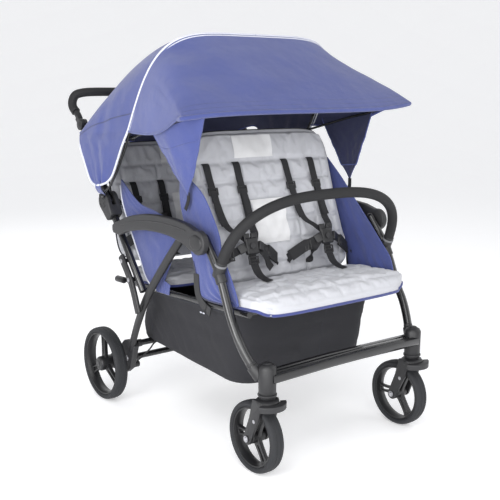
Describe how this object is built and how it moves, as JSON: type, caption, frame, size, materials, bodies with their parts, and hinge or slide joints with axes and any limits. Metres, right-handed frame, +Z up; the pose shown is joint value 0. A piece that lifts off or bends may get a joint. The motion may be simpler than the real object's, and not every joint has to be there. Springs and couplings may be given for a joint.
{
  "type": "quadruple stroller",
  "caption": "Folding group stroller with two rows of paired seats under one cloth canopy, swivelling front casters, a bumper bar, a cloth basket and a pivoting push handle.",
  "frame": {"origin": "centre of the base of the bounding box, on the floor", "axes": "+Z up, the front of the stroller towards -Y, its left side towards -X"},
  "size_m": [0.8364, 1.0593, 1.1792],
  "materials": {
    "tyre_rubber": "smooth dark rubber",
    "rim_plastic": "satin black moulding",
    "moulded_plastic": "fine-grained dark grey moulding",
    "black_tube": "glossy black powder coat",
    "grip_foam": "dense black foam",
    "grey_padding": "light grey quilted polyester",
    "blue_canvas": "blue woven polyester with white piping",
    "basket_cloth": "black woven cloth",
    "webbing": "black woven webbing"
  },
  "bodies": {
    "seat_module": {"seat_frame": "black_tube", "seat_front_tube": "black_tube", "push_tube_l": "black_tube", "push_tube_r": "black_tube", "fold_hub_l": "moulded_plastic", "fold_hub_r": "moulded_plastic", "side_strut_l": "moulded_plastic", "side_strut_r": "moulded_plastic", "armrest_l": "moulded_plastic", "armrest_r": "moulded_plastic", "front_seat_pad": "grey_padding", "rear_seat_pad": "grey_padding", "front_backrest": "grey_padding", "rear_backrest": "grey_padding", "front_back_frame": "black_tube", "rear_back_bar": "black_tube", "side_panel_l": "blue_canvas", "side_panel_r": "blue_canvas", "basket": "basket_cloth", "harness_front_l": "webbing", "harness_front_r": "webbing", "harness_rear_l": "webbing", "harness_rear_r": "webbing"},
    "front_frame": {"front_leg_l": "black_tube", "front_leg_r": "black_tube", "caster_housing_l": "moulded_plastic", "caster_housing_r": "moulded_plastic", "footrest": "moulded_plastic"},
    "rear_frame": {"rear_leg_l": "moulded_plastic", "rear_leg_r": "moulded_plastic", "rear_bracket_l": "moulded_plastic", "rear_bracket_r": "moulded_plastic", "rear_axle_tube": "black_tube", "rear_crossbar": "black_tube", "brake_cable": "webbing"},
    "handle": {"handle_tube_l": "black_tube", "handle_tube_r": "black_tube"},
    "grip": {"handle_grip": "grip_foam"},
    "canopy_middle": {"canopy_mid_bow": "black_tube", "canopy_rear_sheet": "blue_canvas"},
    "canopy_front": {"canopy_front_bow": "black_tube", "canopy_front_sheet": "blue_canvas"},
    "bumper": {"bumper_bar": "grip_foam"},
    "brake": {"brake_pedal": "moulded_plastic"},
    "swivel_l": {"caster_fork_l": "moulded_plastic"},
    "front_wheel_l": {"front_tyre_l": "tyre_rubber", "front_rim_l": "rim_plastic"},
    "rear_wheel_l": {"rear_tyre_l": "tyre_rubber", "rear_rim_l": "rim_plastic"},
    "swivel_lever_l": {"swivel_lock_l": "moulded_plastic"},
    "swivel_r": {"caster_fork_r": "moulded_plastic"},
    "front_wheel_r": {"front_tyre_r": "tyre_rubber", "front_rim_r": "rim_plastic"},
    "rear_wheel_r": {"rear_tyre_r": "tyre_rubber", "rear_rim_r": "rim_plastic"},
    "swivel_lever_r": {"swivel_lock_r": "moulded_plastic"},
    "button_front_l": {"buckle_button_front_l": "moulded_plastic"},
    "button_front_r": {"buckle_button_front_r": "moulded_plastic"},
    "button_rear_l": {"buckle_button_rear_l": "moulded_plastic"},
    "button_rear_r": {"buckle_button_rear_r": "moulded_plastic"}
  },
  "joints": [
    {"name": "front_frame_fold", "type": "hinge", "parent": "seat_module", "child": "front_frame", "pos_m": [0, -0.25775, 0.612], "axis": [1, 0, 0], "range_deg": [0, 17], "deforming": ["basket"]},
    {"name": "rear_frame_fold", "type": "hinge", "parent": "seat_module", "child": "rear_frame", "pos_m": [0, -0.13775, 0.606], "axis": [1, 0, 0], "range_deg": [-18.4, 0]},
    {"name": "handle_fold", "type": "hinge", "parent": "seat_module", "child": "handle", "pos_m": [0, 0.28525, 0.668], "axis": [1, 0, 0], "range_deg": [0, 54]},
    {"name": "handle_tilt", "type": "hinge", "parent": "handle", "child": "grip", "pos_m": [0, 0.45425, 0.904], "axis": [1, 0, 0], "range_deg": [-32, 32]},
    {"name": "canopy_front_fold", "type": "hinge", "parent": "canopy_middle", "child": "canopy_front", "pos_m": [0, 0.09993, 0.87611], "axis": [1, 0, 0], "range_deg": [-36, 0], "deforming": ["canopy_front_sheet"]},
    {"name": "canopy_middle_fold", "type": "hinge", "parent": "seat_module", "child": "canopy_middle", "pos_m": [0, 0.27025, 0.69], "axis": [1, 0, 0], "range_deg": [-40, 0], "deforming": ["canopy_rear_sheet"]},
    {"name": "bumper_pull", "type": "slide", "parent": "front_frame", "child": "bumper", "axis": [0, -0.4004, 0.9164], "range_m": [0, 0.026]},
    {"name": "brake_press", "type": "hinge", "parent": "rear_frame", "child": "brake", "pos_m": [-0.28, 0.22425, 0.127], "axis": [1, 0, 0], "range_deg": [-14, 0]},
    {"name": "caster_swivel_l", "type": "hinge", "parent": "front_frame", "child": "swivel_l", "pos_m": [-0.2787, -0.47775, 0.2215], "axis": [0, 0, 1], "continuous": true},
    {"name": "front_wheel_spin_l", "type": "hinge", "parent": "swivel_l", "child": "front_wheel_l", "pos_m": [-0.2787, -0.42975, 0.1], "axis": [1, 0, 0], "continuous": true},
    {"name": "rear_wheel_spin_l", "type": "hinge", "parent": "rear_frame", "child": "rear_wheel_l", "pos_m": [-0.3433, 0.31255, 0.1211], "axis": [1, 0, 0], "continuous": true},
    {"name": "swivel_lock_l", "type": "hinge", "parent": "swivel_l", "child": "swivel_lever_l", "pos_m": [-0.2787, -0.49775, 0.211], "axis": [1, 0, 0], "range_deg": [0, 12]},
    {"name": "caster_swivel_r", "type": "hinge", "parent": "front_frame", "child": "swivel_r", "pos_m": [0.2787, -0.47775, 0.2215], "axis": [0, 0, 1], "continuous": true},
    {"name": "front_wheel_spin_r", "type": "hinge", "parent": "swivel_r", "child": "front_wheel_r", "pos_m": [0.2787, -0.42975, 0.1], "axis": [1, 0, 0], "continuous": true},
    {"name": "rear_wheel_spin_r", "type": "hinge", "parent": "rear_frame", "child": "rear_wheel_r", "pos_m": [0.3433, 0.31255, 0.1211], "axis": [1, 0, 0], "continuous": true},
    {"name": "swivel_lock_r", "type": "hinge", "parent": "swivel_r", "child": "swivel_lever_r", "pos_m": [0.2787, -0.49775, 0.211], "axis": [1, 0, 0], "range_deg": [0, 12]},
    {"name": "buckle_release_front_l", "type": "slide", "parent": "seat_module", "child": "button_front_l", "axis": [0, 0.9563, -0.2924], "range_m": [0, 0.0025], "stiffness_N_per_m": 400},
    {"name": "buckle_release_front_r", "type": "slide", "parent": "seat_module", "child": "button_front_r", "axis": [0, 0.9563, -0.2924], "range_m": [0, 0.0025], "stiffness_N_per_m": 400},
    {"name": "buckle_release_rear_l", "type": "slide", "parent": "seat_module", "child": "button_rear_l", "axis": [0, 0.9563, -0.2924], "range_m": [0, 0.0025], "stiffness_N_per_m": 400},
    {"name": "buckle_release_rear_r", "type": "slide", "parent": "seat_module", "child": "button_rear_r", "axis": [0, 0.9563, -0.2924], "range_m": [0, 0.0025], "stiffness_N_per_m": 400}
  ],
  "couplings": [
    {"joint": "rear_frame_fold", "follows": "front_frame_fold", "ratio": -1.08}
  ]
}
